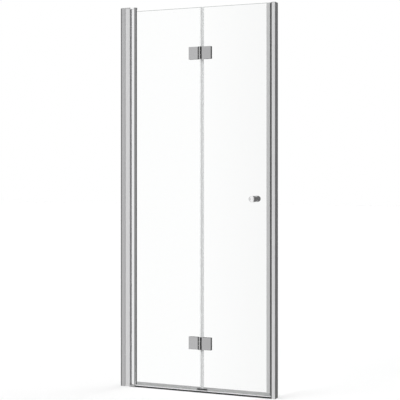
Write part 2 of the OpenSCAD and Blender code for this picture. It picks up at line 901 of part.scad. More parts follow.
module knuckle(side, z0, z1) {
    web_end = fold_x + side * (hinge_gap + past);
    rod_z(fold_x, axis_y, z0, z1, barrel_r);
    box([min(fold_x, web_end), -pad_y - knuckle_web_t, z0], [max(fold_x, web_end), -pad_y, z1]);
}

module hinge_plate(side, zc, spans, bore_r) {
    color(chrome)
        difference() {
            union() {
                bevelled_plate(plate_x0(side), plate_x1(side), -pad_y, -plate_y,
                    zc - hinge_h / 2, zc + hinge_h / 2);
                for (s = spans)
                    knuckle(side, zc + s[0], zc + s[1]);
            }
            rod_z(fold_x, axis_y, zc - hinge_h, zc + hinge_h, bore_r);
            for (dz = [-1, 1] * clamp_screw_pitch / 2)
                rod_y(fold_x + side * clamp_screw_x, -pad_y - blind_hole_l, 0, zc + dz, screw_hole_r);
        }
}

// The first pane's plate carries the two end knuckles, the second pane's the middle one
module hinge_plate_a(zc) {
    hinge_plate(-1, zc, [[-hinge_h / 2, -outer_knuckle_z], [outer_knuckle_z, hinge_h / 2]],
        hinge_pin_r + fix_gap);
}

module hinge_plate_b(zc) {
    hinge_plate(1, zc, [[-mid_knuckle_h / 2, mid_knuckle_h / 2]], hinge_pin_r + run_gap);
}

// Inner plate with countersunk holes
module hinge_clamp(side, zc) {
    color(chrome)
        difference() {
            bevelled_plate(plate_x0(side), plate_x1(side), pad_y, clamp_y,
                zc - hinge_h / 2, zc + hinge_h / 2);
            for (dz = [-1, 1] * clamp_screw_pitch / 2)
                translate([fold_x + side * clamp_screw_x, clamp_y, zc + dz])
                    rotate([90, 0, 0]) {
                        translate([0, 0, -past])
                            cylinder(h = clamp_t + 2 * past, r = screw_hole_r);
                        translate([0, 0, -screw_gap])
                            cylinder(h = clamp_screw_r, r1 = 2 * screw_hole_r, r2 = screw_hole_r);
                    }
        }
}

// Pads on both faces of the glass; the outer one runs on to the fold axis or to the second
// pane's edge, and the inner one has bosses that line the glass holes
module hinge_pads(side, zc) {
    x0 = plate_x0(side) + pad_inset;
    x1 = plate_x1(side) - pad_inset;
    edge_x = side > 0 ? pane_b_x0 : fold_x;
    z_half = hinge_h / 2 - pad_inset;
    screw_x = fold_x + side * clamp_screw_x;
    color(black_rubber)
        difference() {
            union() {
                box([min(x0, edge_x), -pad_y, zc - z_half],
                    [max(x1, edge_x), -glass_half, zc + z_half]);
                box([x0, glass_half, zc - z_half], [x1, pad_y, zc + z_half]);
                for (dz = [-1, 1] * clamp_screw_pitch / 2)
                    rod_y(screw_x, -glass_half + meet_gap, glass_half, zc + dz,
                        glass_hole_d / 2 - screw_gap);
            }
            for (dz = [-1, 1] * clamp_screw_pitch / 2)
                rod_y(screw_x, -plate_y, clamp_y, zc + dz, screw_hole_r);
        }
}

// Countersunk screws with a hexagon socket, from the inner plate into the outer one
module hinge_screws(side, zc) {
    head_h = clamp_screw_r - screw_gap;
    shank_l = clamp_t + pad_t + glass_t + pad_t + blind_hole_l - meet_gap;
    color(steel)
        for (dz = [-1, 1] * clamp_screw_pitch / 2)
            translate([fold_x + side * clamp_screw_x, clamp_y, zc + dz])
                rotate([90, 0, 0])
                    difference() {
                        union() {
                            cylinder(h = head_h, r1 = 2 * clamp_screw_r - screw_gap,
                                r2 = clamp_screw_r);
                            cylinder(h = shank_l, r = clamp_screw_r);
                        }
                        translate([0, 0, -past])
                            cylinder(h = past + head_h, r = clamp_socket_d / 2, $fn = 6);
                    }
}

module hinge_pin(zc) {
    half = hinge_h / 2 - hinge_pin_inset;
    color(steel)
        rod_z(fold_x, axis_y, zc - half, zc + half, hinge_pin_r);
}

// Thrust washers in the gaps between the knuckles
module hinge_washers(zc) {
    slack = run_gap;
    color(white_nylon)
        for (z0 = [-outer_knuckle_z, mid_knuckle_h / 2])
            difference() {
                rod_z(fold_x, axis_y, zc + z0 + slack, zc + z0 + knuckle_gap - slack,
                    barrel_r - meet_gap);
                rod_z(fold_x, axis_y, zc + z0 - past, zc + z0 + knuckle_gap + past,
                    hinge_pin_r + run_gap);
            }
}

// ---- second leaf ----

// Clip on the second pane's fold edge, with a fin that covers the gap from inside;
// the fin stops above the first pane's bottom seal
module fold_seal(z0, z1) {
    color(clear_vinyl) {
        upright(z0, z1)
            difference() {
                translate([fold_seal_x0, -clip_y1])
                    square([fold_seal_x1 - fold_seal_x0, 2 * clip_y1]);
                translate([pane_b_x0 - fix_gap, -clip_y0])
                    square([fold_clip_w + past, 2 * clip_y0]);
            }
        upright(max(z0, clip_top + 2 * meet_gap), z1)
            translate([fold_seal_x0 - fin_l, clip_y1 - lip_t + meet_gap])
                square([fin_l + clip_t, lip_t]);
    }
}

module fold_seal_lower() {
    fold_seal(glass_bottom, hinge_z_low - hinge_h / 2 - seal_notch);
}

module fold_seal_middle() {
    fold_seal(hinge_z_low + hinge_h / 2 + seal_notch, hinge_z_high - hinge_h / 2 - seal_notch);
}

module fold_seal_upper() {
    fold_seal(hinge_z_high + hinge_h / 2 + seal_notch, glass_top);
}

// Clip on the closing edge with a pocket for the magnet
module door_magnet_seal() {
    base_x = pane_b_x1 + fix_gap;
    color(clear_vinyl)
        upright(door_seal_z, glass_top)
            difference() {
                union() {
                    translate([pane_b_x1 - door_clip_w, -clip_y1])
                        square([door_clip_w + clip_t, 2 * clip_y1]);
                    translate([base_x, -pocket_w / 2])
                        square([magnet_face_x - base_x, pocket_w]);
                }
                translate([pane_b_x1 - door_clip_w - past, -clip_y0])
                    square([door_clip_w + past + fix_gap, 2 * clip_y0]);
                translate([base_x + clip_t, -pocket_w / 2 + pocket_t])
                    square([magnet_face_x - base_x - clip_t - pocket_t, pocket_w - 2 * pocket_t]);
            }
}

module door_magnet() {
    x0 = pane_b_x1 + 2 * fix_gap + clip_t;
    slack = pocket_t + fix_gap;
    color(magnet_black)
        upright(door_seal_z, glass_top)
            translate([x0, -pocket_w / 2 + slack])
                square([magnet_face_x - slack - x0, pocket_w - 2 * slack]);
}

// One half of the knob, turned: neck, body with chamfered rims and a shallow dish
module knob_half() {
    r = knob_d / 2;
    neck_r = knob_neck_d / 2;
    dish_r = knob_dish_d / 2;
    c = knob_chamfer;
    difference() {
        rotate_extrude()
            polygon([
                [0, 0], [neck_r, 0], [neck_r, knob_neck_l], [r - c, knob_neck_l],
                [r, knob_neck_l + c], [r, knob_l - c], [r - c, knob_l], [dish_r, knob_l],
                [dish_r - c, knob_l - knob_dish_l], [0, knob_l - knob_dish_l]
            ]);
        translate([0, 0, -past])
            cylinder(h = past + knob_stud_grip + meet_gap, r = knob_stud_d / 2 + fix_gap);
    }
}

module knob_outer() {
    color(chrome)
        translate([knob_x, -knob_base_y, knob_z])
            rotate([90, 0, 0])
                knob_half();
}

module knob_inner() {
    color(chrome)
        translate([knob_x, knob_base_y, knob_z])
            rotate([-90, 0, 0])
                knob_half();
}

module knob_stud() {
    color(steel)
        rod_y(knob_x, -knob_base_y - knob_stud_grip, knob_base_y + knob_stud_grip, knob_z,
            knob_stud_d / 2);
}

// A washer on each face of the glass; the inner one has a sleeve that lines the glass hole
module knob_washers() {
    bore_r = knob_stud_d / 2 + screw_gap;
    color(black_rubber)
        difference() {
            union() {
                rod_y(knob_x, -knob_base_y, -glass_half, knob_z, knob_neck_d / 2);
                rod_y(knob_x, glass_half, knob_base_y, knob_z, knob_neck_d / 2);
                rod_y(knob_x, -glass_half + meet_gap, glass_half, knob_z,
                    knob_hole_d / 2 - screw_gap);
            }
            rod_y(knob_x, -knob_l, knob_l, knob_z, bore_r);
        }
}

wall_channel_left();
frame_profile_left();
top_cap_left();
adjusting_screws_left();
screw_covers_left();
wall_channel_right();
strike_profile();
strike_seal();
strike_magnet();
top_cap_right();
adjusting_screws_right();
screw_covers_right();
threshold_rail();
bottom_pivot_foot();
top_pivot_bracket();
bottom_pivot_bush();
top_pivot_bush();
bracket_screws();
pivot_post();
bottom_post_cap();
top_post_cap();
bottom_pivot_pin();
top_pivot_pin();
glazing_gasket();
glass_pane_a();
bottom_seal_a();
drip_stop_a();
hinge_plate_a(hinge_z_high);  // upper_hinge_plate_a
hinge_clamp(-1, hinge_z_high);  // upper_hinge_clamp_a
hinge_pads(-1, hinge_z_high);  // upper_hinge_pads_a
hinge_screws(-1, hinge_z_high);  // upper_hinge_screws_a
hinge_plate_a(hinge_z_low);  // lower_hinge_plate_a
hinge_clamp(-1, hinge_z_low);  // lower_hinge_clamp_a
hinge_pads(-1, hinge_z_low);  // lower_hinge_pads_a
hinge_screws(-1, hinge_z_low);  // lower_hinge_screws_a
hinge_plate_b(hinge_z_high);  // upper_hinge_plate_b
hinge_clamp(1, hinge_z_high);  // upper_hinge_clamp_b
hinge_pads(1, hinge_z_high);  // upper_hinge_pads_b
hinge_screws(1, hinge_z_high);  // upper_hinge_screws_b
hinge_plate_b(hinge_z_low);  // lower_hinge_plate_b
hinge_clamp(1, hinge_z_low);  // lower_hinge_clamp_b
hinge_pads(1, hinge_z_low);  // lower_hinge_pads_b
hinge_screws(1, hinge_z_low);  // lower_hinge_screws_b
hinge_pin(hinge_z_high);  // upper_hinge_pin
hinge_pin(hinge_z_low);  // lower_hinge_pin
hinge_washers(hinge_z_high);  // upper_hinge_washers
hinge_washers(hinge_z_low);  // lower_hinge_washers
glass_pane_b();
fold_seal_upper();
fold_seal_middle();
fold_seal_lower();
bottom_seal_b();
drip_stop_b();
door_magnet_seal();
door_magnet();
knob_outer();
knob_inner();
knob_stud();
knob_washers();
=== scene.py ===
"""Looks of a bifold shower door: anodised profiles, chrome fittings, clear glass and soft seals."""
import json
import math

import bmesh
import bpy
import numpy as np
from bpy.props import FloatProperty, FloatVectorProperty, PointerProperty
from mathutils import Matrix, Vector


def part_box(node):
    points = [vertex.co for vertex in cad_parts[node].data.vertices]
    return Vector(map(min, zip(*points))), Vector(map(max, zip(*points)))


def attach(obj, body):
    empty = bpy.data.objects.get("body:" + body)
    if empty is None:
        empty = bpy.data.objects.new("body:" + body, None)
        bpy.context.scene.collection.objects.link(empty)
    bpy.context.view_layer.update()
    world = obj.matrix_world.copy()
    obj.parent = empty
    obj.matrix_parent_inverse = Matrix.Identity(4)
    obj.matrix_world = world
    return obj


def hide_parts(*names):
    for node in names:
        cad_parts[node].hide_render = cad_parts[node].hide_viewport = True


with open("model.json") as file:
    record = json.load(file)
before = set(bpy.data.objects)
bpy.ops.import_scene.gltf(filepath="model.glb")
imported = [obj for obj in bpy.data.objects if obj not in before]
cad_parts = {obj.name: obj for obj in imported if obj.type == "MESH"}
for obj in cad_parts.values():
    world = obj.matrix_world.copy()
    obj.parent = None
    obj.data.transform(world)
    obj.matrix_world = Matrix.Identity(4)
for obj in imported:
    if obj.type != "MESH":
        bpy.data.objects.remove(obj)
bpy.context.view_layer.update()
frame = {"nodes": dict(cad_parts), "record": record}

bl_info = {
    "name": "Bifold shower door",
    "version": (1, 0, 0),
    "blender": (4, 5, 0),
    "location": "3D View > Sidebar > Shower door",
    "description": "Dresses the door's solids with finishes and sets up the stage",
    "category": "Object",
}

BODIES = {node: body for body, nodes in frame["record"]["behaviour"]["bodies"].items() for node in nodes}

# Painted shade and a painted highlight in strips along the hinge barrel: from and to, in metres of X from the hinge's
# axis
BARREL_NEAR_SHADE, BARREL_HIGHLIGHT, BARREL_FAR_SHADE = (-0.0094, -0.0008), (-0.0008, 0.0039), (0.0054, 0.0086)

# Angles in degrees: triangles that meet below FLAT become one face, an edge above SHARP (on a turned
# surface, TURNED_SHARP) isn't smoothed, and an edge above CORNER is rounded
FLAT, SHARP, TURNED_SHARP, CORNER = 0.2, 32, 40, 35
# Points closer than this are one, in metres: on a solid's loose triangles and on a turned surface
SOLID_MERGE, TURNED_MERGE = 2e-6, 1e-7

# The ring of reflection cards: bearings in degrees from -Y towards +X, and the grey at each
CARD_BEARINGS = (-180, -88, -64, 10, 20, 60, 90, 125, 150, 180)
CARD_GREYS = (0.17, 0.17, 1.00, 1.00, 0.40, 0.33, 0.25, 0.21, 0.13, 0.13)
CARD_RADIUS, CARD_BOTTOM, CARD_TOP = 9.0, -8.0, 11.0

# The floor's half width and its depth below the tray's level, in metres
FLOOR_REACH, FLOOR_DROP = 30.0, 0.0002

# The camera's sensor width in millimetres, and how near and far it sees in metres
SENSOR, NEAREST, FARTHEST = 36, 0.05, 200

# The lamps: turn about Z and height above the horizon, and how wide each shines, in degrees
KEY_TURN, KEY_HEIGHT, REAR_TURN, REAR_HEIGHT, LAMP_SPREAD = -34, 40, 150, 48, 35


# ---- sizes and colours that a user would change ----


def colour_prop(name, description, default):
    """A colour as red, green and blue, from 0 to 1, in linear light."""
    return FloatVectorProperty(
        name=name, description=description, default=default, subtype="COLOR", min=0, max=1
    )


def size_prop(name, description, default):
    """A small size in metres, up to 10 mm."""
    return FloatProperty(
        name=name, description=description, default=default, min=0, max=0.01,
        subtype="DISTANCE", unit="LENGTH", precision=5,
    )


def share_prop(name, description, default):
    """A share from 0 to 1."""
    return FloatProperty(name=name, description=description, default=default, min=0, max=1, subtype="FACTOR")


class MetalSettings(bpy.types.PropertyGroup):
    """Colours, finishes and small sizes of the metal pieces."""

    channel: colour_prop("Pivot-side channel", "Satin metal of the pivot-side wall channel", (0.44, 0.44, 0.445))
    # The lip colour is painted shade: a darker strip along the pivot-side channel's wall edge
    lip: colour_prop("Channel lip", "Darker lip of that channel along the wall", (0.165, 0.165, 0.167))
    profile: colour_prop("Profiles", "Bright satin metal of the sliding profiles", (0.64, 0.64, 0.645))
    # Painted shade: the strike-side channel's wall side is a darker copy of the profiles' metal
    side: colour_prop("Wall side", "Darker wall side of the strike-side channel", (0.38, 0.38, 0.384))
    # Painted shade: the strike profile and the channel's edge beside it are darkened for the shade in the gap at the
    # strike
    strike: colour_prop("Strike profile", "Painted shade on the strike profile's metal", (0.09, 0.09, 0.0915))
    rail: colour_prop("Rail", "Bright metal of the threshold rail", (0.93, 0.93, 0.935))
    post: colour_prop("Post", "Polished metal of the round post", (0.92, 0.92, 0.925))
    sill: colour_prop("Rail edge", "Dark outer edge of the threshold rail", (0.012, 0.012, 0.0125))
    hinge: colour_prop("Hinges", "Plating of the fold hinges", (0.475, 0.475, 0.48))
    # Painted shade: the second pane's hinge plates take a darker copy of the same plating
    shaded_hinge: colour_prop("Far hinges", "Shaded copy of the plating of the second pane's hinge plates", (0.437, 0.437, 0.441))
    clamp: colour_prop("Clamps", "Plating of the hinges' inner clamp plates", (0.85, 0.85, 0.855))
    # Painted shade on the barrel's sides and a painted highlight along its middle
    barrel_shade: colour_prop("Barrel rim", "Painted shade along the barrel's side", (0.035, 0.035, 0.0355))
    barrel_highlight: colour_prop("Barrel core", "Painted highlight along the barrel's middle", (0.66, 0.66, 0.665))
    knob: colour_prop("Knob", "Plating of the knob", (0.90, 0.90, 0.905))
    # Painted shade: a darker strip along the post's far side
    post_limb: colour_prop("Post's far side", "Darker strip along the post, towards the glass", (0.60, 0.60, 0.605))
    # Painted reflection: a dark strip across the knob's rim
    knob_limb: colour_prop("Knob's side", "Darker strip on the knob's side towards the fold", (0.16, 0.16, 0.162))
    screw: colour_prop("Screws", "Stainless steel of screws and pins", (0.52, 0.52, 0.51))
    satin: share_prop("Satin roughness", "Roughness of the anodised profiles", 0.32)
    matt: share_prop("Rail roughness", "Roughness of the threshold rail", 0.5)
    mirror: share_prop("Polish roughness", "Roughness of the polished pieces", 0.1)
    hinge_haze: share_prop("Hinge haze", "How much rougher the hinges' plating is than the polished pieces", 0.08)
    clamp_metallic: share_prop("Clamp mirror", "How much of the clamps' colour is a mirror's and not a paint's", 0.75)
    knob_rim: size_prop("Knob rim", "Rounding between the knob's side and its face", 0.0050)
    knob_step: size_prop("Knob neck step", "How much thinner the knob's neck is, on each side", 0.0035)
    knob_neck: size_prop("Knob neck", "Length of the knob's neck", 0.0025)
    knob_dish: size_prop("Knob dish", "Radius of the dish in the knob's face", 0.0062)
    knob_depth: size_prop("Knob dish depth", "Depth of the dish in the knob's face", 0.0016)
    knob_shade: size_prop("Knob's strip", "Width of the darker strip on the knob's side", 0.0040)
    shaded_lip_width: size_prop("Lip width", "Width of the darker lip along the wall", 0.0064)
    wall_side_shade: size_prop("Wall side's edge", "Depth of the darker wall side of the strike-side channel", 0.0013)
    strike_shade_edge: size_prop("Strike's edge", "Width of that channel's dark edge beside the strike", 0.0012)
    post_loss: share_prop("Post's dulling", "How much less of a mirror the post's dull strip is", 0.8)
    post_dull: size_prop("Post's dull strip", "Width of the duller strip along the post's wall side", 0.0078)
    post_shade: size_prop("Post's dark strip", "Width of the darker strip along the post's far side", 0.0008)
    sill_width: size_prop("Rail edge width", "Width of the rail's dark outer edge, seen from above", 0.0030)
    edge: size_prop("Edge radius", "Rounding of the metal pieces' edges", 0.00025)


class SoftSettings(bpy.types.PropertyGroup):
    """Colours, finishes and small sizes of glass, seals, rubber and plastic."""

    glass: colour_prop("Glass", "Tint of the clear glass", (0.985, 0.99, 0.988))
    # Painted reflection: the glass darkens towards the strike side
    glass_painted_reflection: colour_prop("Far glass", "Painted darker reflection on the glass towards the strike side", (0.935, 0.94, 0.938))
    glass_rim: colour_prop("Glass rim", "Tint of the glass along its top edge", (0.52, 0.55, 0.54))
    vinyl: colour_prop("Fold seal", "Milky vinyl of the fold seal at the fold", (0.64, 0.65, 0.65))
    # Milky vinyl lightened by painted light towards the pane, against the shade on the seal's end
    vinyl_painted_light: colour_prop("Fold seal, far edge", "Milky vinyl of the fold seal towards the pane, lightened by painted light", (0.92, 0.93, 0.93))
    sill_vinyl: colour_prop("Bottom seals", "Greyer vinyl of the bottom seals", (0.44, 0.445, 0.445))
    magnet_vinyl: colour_prop("Magnet seal", "Vinyl over the door's magnet strip", (0.53, 0.535, 0.535))
    strike_vinyl: colour_prop("Strike seal", "Dark vinyl of the strike's magnet seal", (0.085, 0.085, 0.087))
    rubber: colour_prop("Rubber", "Black rubber of stops and gaskets", (0.022, 0.022, 0.023))
    plastic: colour_prop("Foot", "Moulded plastic of the pivot foot", (0.36, 0.36, 0.365))
    cap_plastic: colour_prop("Caps", "Moulded plastic of the caps", (0.49, 0.49, 0.495))
    nylon: colour_prop("Nylon", "White bushes and washers", (0.78, 0.78, 0.75))
    glass_light: colour_prop("Glass light", "Tint of the light that the glass lets through", (0.97, 0.98, 0.975))
    magnet: colour_prop("Magnet strip", "Dark rubber of the magnet strips", (0.05, 0.05, 0.052))
    vinyl_alpha: share_prop("Seal opacity", "How much of what is behind them the seals hide", 0.85)
    far_alpha: share_prop("Far opacity", "The same at the fold seal's edge towards the pane", 0.4)
    lip_alpha: share_prop("Lip opacity", "The same at the fold seal's clear lip", 0.12)
    magnet_alpha: share_prop("Magnet seal opacity", "The same for the seals over the magnets", 0.97)
    nylon_rough: share_prop("Nylon roughness", "Roughness of the white bushes and washers", 0.35)
    plastic_rough: share_prop("Plastic roughness", "Roughness of the foot and the caps", 0.45)
    lip_gap: size_prop("Clear lip's place", "How far before the pane's edge the fold seal's clear lip ends", 0.0008)
    rim_height: size_prop("Rim height", "Height of the deeper tint along the panes' top edges", 0.0018)
    arris: size_prop("Glass arris", "Polished bevel around each pane", 0.0006)
    reflection_lead: FloatProperty(
        name="Tint lead", description="How far before the second pane the glass starts to deepen", default=0.02,
        min=0, max=0.4, subtype="DISTANCE", unit="LENGTH",
    )


class StageSettings(bpy.types.PropertyGroup):
    """Camera, floor and light."""

    lens: FloatProperty(name="Lens", description="Focal length for a 36 mm sensor", default=96.84, unit="CAMERA")
    turn: FloatProperty(
        name="Camera turn", description="Turn of the camera to the left of the doorway's normal",
        default=math.radians(23.3), subtype="ANGLE",
    )
    eye: FloatVectorProperty(
        name="Camera place", description="Where the camera stands", default=(2.0424, -4.709, 1.037),
        subtype="TRANSLATION", unit="LENGTH",
    )
    rise: FloatProperty(
        name="Vertical shift", description="Shift of the frame, as a share of its width", default=-0.06475,
    )
    floor: colour_prop("Floor", "Pale floor", (0.5, 0.5, 0.5))
    floor_glow: FloatProperty(
        name="Floor white", description="Share of plain white that the floor shows", default=0.42, min=0, max=1,
    )
    ambient: FloatProperty(
        name="Ambient", description="Strength of the light from all sides", default=0.62, min=0, max=2,
    )
    key: FloatProperty(name="Key lamp", description="Strength of the soft lamp in front", default=1.9, min=0)
    rear: FloatProperty(name="Rear lamp", description="Strength of the soft lamp behind", default=0.7, min=0)


# ---- shader building ----


class Wire:
    """A socket of a node tree that takes part in sums written as plain expressions."""

    def __init__(self, tree, socket):
        self.tree, self.socket = tree, socket

    def _sum(self, operation, first, second):
        node = self.tree.nodes.new("ShaderNodeMath")
        node.operation = operation
        for slot, value in zip(node.inputs, (first, second)):
            if isinstance(value, Wire):
                self.tree.links.new(value.socket, slot)
            else:
                slot.default_value = value
        return Wire(self.tree, node.outputs[0])

    def __add__(self, other):
        return self._sum("ADD", self, other)

    def __sub__(self, other):
        return self._sum("SUBTRACT", self, other)

    def __rsub__(self, other):
        return self._sum("SUBTRACT", other, self)

    def __mul__(self, other):
        return self._sum("MULTIPLY", self, other)

    def __gt__(self, other):
        return self._sum("GREATER_THAN", self, other)

    def __lt__(self, other):
        return self._sum("LESS_THAN", self, other)

    def most(self, other):
        """The larger of two values."""
        return self._sum("MAXIMUM", self, other)

    def about(self, middle, spread):
        """Noise from 0 to 1 turned into a value that wanders over a spread about a middle."""
        return self * spread + (middle - spread / 2)

    __radd__ = __add__
    __rmul__ = __mul__


class Shader:
    """A material's or the world's node tree, with one method for every kind of node."""

    def __init__(self, owner):
        owner.use_nodes = True
        self.tree = owner.node_tree
        self.tree.nodes.clear()

    def node(self, kind, settings=None, **sockets):
        """Adds a node of a kind and makes its settings, then fills its sockets with values or wires.

        A socket goes by its name, with _ for a space, or by its number after an n.
        """
        made = self.tree.nodes.new(kind)
        for key, value in (settings or {}).items():
            setattr(made, key, value)
        for key, value in sockets.items():
            numbered = key[0] == "n" and key[1:].isdigit()
            slot = made.inputs[int(key[1:]) if numbered else key.replace("_", " ")]
            if isinstance(value, Wire):
                self.tree.links.new(value.socket, slot)
            else:
                slot.default_value = (*value, 1) if slot.type == "RGBA" and len(value) == 3 else value
        return made

    def wire(self, kind, settings=None, output=0, **sockets):
        """The wire of one output of a new node."""
        return Wire(self.tree, self.node(kind, settings, **sockets).outputs[output])

    def place(self):
        """The Object coordinates."""
        return self.wire("ShaderNodeTexCoord", output="Object")

    def along(self, vector, axis):
        """One coordinate, X, Y or Z, of a place."""
        return self.wire("ShaderNodeSeparateXYZ", output=axis, n0=vector)

    def drawn(self, vector, times):
        """The coordinates with Z squeezed, which draws a pattern out lengthwise a number of times."""
        return self.wire("ShaderNodeVectorMath", {"operation": "MULTIPLY"}, n0=vector, n1=(1, 1, 1 / times))

    def noise(self, vector, per_metre, detail=2.0):
        """Soft noise about one half, with a number of specks per metre."""
        return self.wire("ShaderNodeTexNoise", output="Fac", Vector=vector, Scale=per_metre, Detail=detail)

    def blend(self, share, first, second):
        """A colour between two colours."""
        node = self.node("ShaderNodeMix", {"data_type": "RGBA"}, n0=share, n6=first, n7=second)
        return Wire(self.tree, node.outputs[2])

    def shade(self, colour, factor):
        """A colour made lighter or darker by a factor."""
        scale = self.wire("ShaderNodeCombineXYZ", X=factor, Y=factor, Z=factor)
        return self.wire("ShaderNodeVectorMath", {"operation": "MULTIPLY"}, n0=scale, n1=tuple(colour)[:3])

    def bump(self, height, distance, strength):
        """A normal tilted by a height, of a distance in metres."""
        return self.wire("ShaderNodeBump", output="Normal", Height=height, Distance=distance, Strength=strength)

    def finish(self, shader):
        """Links a shader to the material's output."""
        self.tree.links.new(shader.outputs[0], self.node("ShaderNodeOutputMaterial").inputs["Surface"])


def new_shader(name):
    """A new material and its node tree."""
    material = bpy.data.materials.new(name)
    return material, Shader(material)


def satin_metal(name, colour, rough, bands=(), metallic=0.6):
    """Anodised extrusion, with die lines from noise drawn out 200 times along Z.

    Each band (axis, limit, colour) tones what lies below its limit.
    """
    material, g = new_shader(name)
    vector = g.place()
    lines = g.noise(g.drawn(vector, 200), per_metre=900.0, detail=3.0)
    cloud = g.noise(vector, per_metre=9.0)
    share = lines.about(1.0, 0.06) + cloud.about(0.0, 0.03)
    tone = g.shade(colour, share)
    # On the channels the bands are painted shade along their edges
    for axis, limit, inside in bands:
        tone = g.blend(g.along(vector, axis) < limit, tone, g.shade(inside, share))
    g.finish(g.node(
        "ShaderNodeBsdfPrincipled", Base_Color=tone, Metallic=metallic,
        Roughness=lines.about(rough, 0.08), Normal=g.bump(lines, distance=0.00004, strength=0.35),
    ))
    return material


def polished_metal(name, colour, rough, stripes=(), metallic=1.0, dull=None):
    """Polished plating: almost a mirror, with faint marks drawn out 50 times along Z.

    Each stripe (from, to, colour) of X is toned apart. Dull (limit, loss) takes some of the
    mirror away up to an X.
    """
    material, g = new_shader(name)
    vector = g.place()
    x = g.along(vector, "X")
    marks = g.noise(g.drawn(vector, 50), per_metre=1500.0)
    smear = g.noise(vector, per_metre=35.0, detail=4.0)
    tone = g.shade(colour, marks.about(0.995, 0.03))
    # The stripes paint shade and highlights on the barrel, the post and the knob
    for start, end, inside in stripes:
        tone = g.blend((x > start) * (x < end), tone, tuple(inside))
    if dull is not None:
        limit, loss = dull
        metallic = metallic - (x < limit) * loss
    g.finish(g.node(
        "ShaderNodeBsdfPrincipled", Base_Color=tone, Metallic=metallic,
        Roughness=rough + smear.about(0.005, 0.05), Normal=g.bump(marks, distance=0.00001, strength=0.2),
    ))
    return material


def machined_steel(name, colour):
    """Stainless screws and pins, with fine turning marks."""
    material, g = new_shader(name)
    grain = g.noise(g.place(), per_metre=2500.0, detail=3.0)
    g.finish(g.node(
        "ShaderNodeBsdfPrincipled", Base_Color=g.shade(colour, grain.about(1.0, 0.12)), Metallic=1.0,
        Roughness=grain.about(0.31, 0.14), Normal=g.bump(grain, distance=0.00002, strength=0.3),
    ))
    return material


def clear_glass(name, tint, painted_reflection, start, end, rim, light):
    """Clear float glass, which lets the lamps' light through in a tint of its own.

    A painted darker reflection deepens its tint from one X to another, and a rim (Z, tint) on top is tinted apart.
    """
    material, g = new_shader(name)
    vector = g.place()
    share = g.wire("ShaderNodeMapRange", n0=g.along(vector, "X"), n1=start, n2=end)
    body = g.blend(share, tuple(tint), tuple(painted_reflection))
    bottom, rim_tint = rim
    glass = g.node(
        "ShaderNodeBsdfPrincipled", Base_Color=g.blend(g.along(vector, "Z") > bottom, body, tuple(rim_tint)),
        Roughness=0.0, IOR=1.45, Transmission_Weight=1.0,
    )
    through = g.node("ShaderNodeBsdfTransparent", Color=tuple(light))
    mix = g.node("ShaderNodeMixShader", n0=g.wire("ShaderNodeLightPath", output="Is Shadow Ray"))
    g.tree.links.new(glass.outputs[0], mix.inputs[1])
    g.tree.links.new(through.outputs[0], mix.inputs[2])
    g.finish(mix)
    return material


def milky_vinyl(name, colour, alpha, lip=None, far=None):
    """Translucent soft extrusion with a soft gloss.

    A lip (limit, alpha) has an opacity of its own up to an X. Towards a far edge (from, to,
    colour, alpha) of X, colour and opacity turn to others.
    """
    material, g = new_shader(name)
    vector = g.place()
    x = g.along(vector, "X")
    flow = g.noise(vector, per_metre=700.0)
    share = g.noise(vector, per_metre=60.0, detail=3.0).about(1.0, 0.08)
    tone = g.shade(colour, share)
    if lip is not None:
        limit, lip_alpha = lip
        alpha = alpha - (x < limit) * (alpha - lip_alpha)
    if far is not None:
        start, end, far_colour, far_alpha = far
        turn = g.wire("ShaderNodeMapRange", n0=x, n1=start, n2=end)
        tone = g.blend(turn, tone, g.shade(far_colour, share))
        alpha = alpha - turn * (alpha - far_alpha)
    g.finish(g.node(
        "ShaderNodeBsdfPrincipled", Base_Color=tone, Alpha=alpha, IOR=1.5,
        Roughness=flow.about(0.36, 0.12), Normal=g.bump(flow, distance=0.00003, strength=0.25),
    ))
    return material


def matt_rubber(name, colour):
    """Black rubber with a dull, slightly mottled skin."""
    material, g = new_shader(name)
    vector = g.place()
    skin = g.noise(vector, per_metre=1800.0, detail=3.0)
    cloud = g.noise(vector, per_metre=120.0)
    g.finish(g.node(
        "ShaderNodeBsdfPrincipled", Base_Color=g.shade(colour, cloud.about(1.05, 0.5)),
        Roughness=skin.about(0.65, 0.2), Normal=g.bump(skin, distance=0.00004, strength=0.5),
    ))
    return material


def moulded_plastic(name, colour, rough):
    """Injection moulding with a fine spark-eroded grain."""
    material, g = new_shader(name)
    vector = g.place()
    grain = g.noise(vector, per_metre=2200.0)
    cloud = g.noise(vector, per_metre=40.0)
    g.finish(g.node(
        "ShaderNodeBsdfPrincipled", Base_Color=g.shade(colour, cloud.about(1.0, 0.08)),
        Roughness=grain.about(rough, 0.1), Normal=g.bump(grain, distance=0.00003, strength=0.4),
    ))
    return material


# ---- pieces ----


def finish_object(mesh, node, material):
    """Puts a finished mesh in place of a CAD node: it rides on the node's body."""
    piece = bpy.data.objects.new(mesh.name, mesh)
    bpy.context.scene.collection.objects.link(piece)
    mesh.materials.clear()
    mesh.materials.append(material)
    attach(piece, BODIES[node])
    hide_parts(node)
    return piece


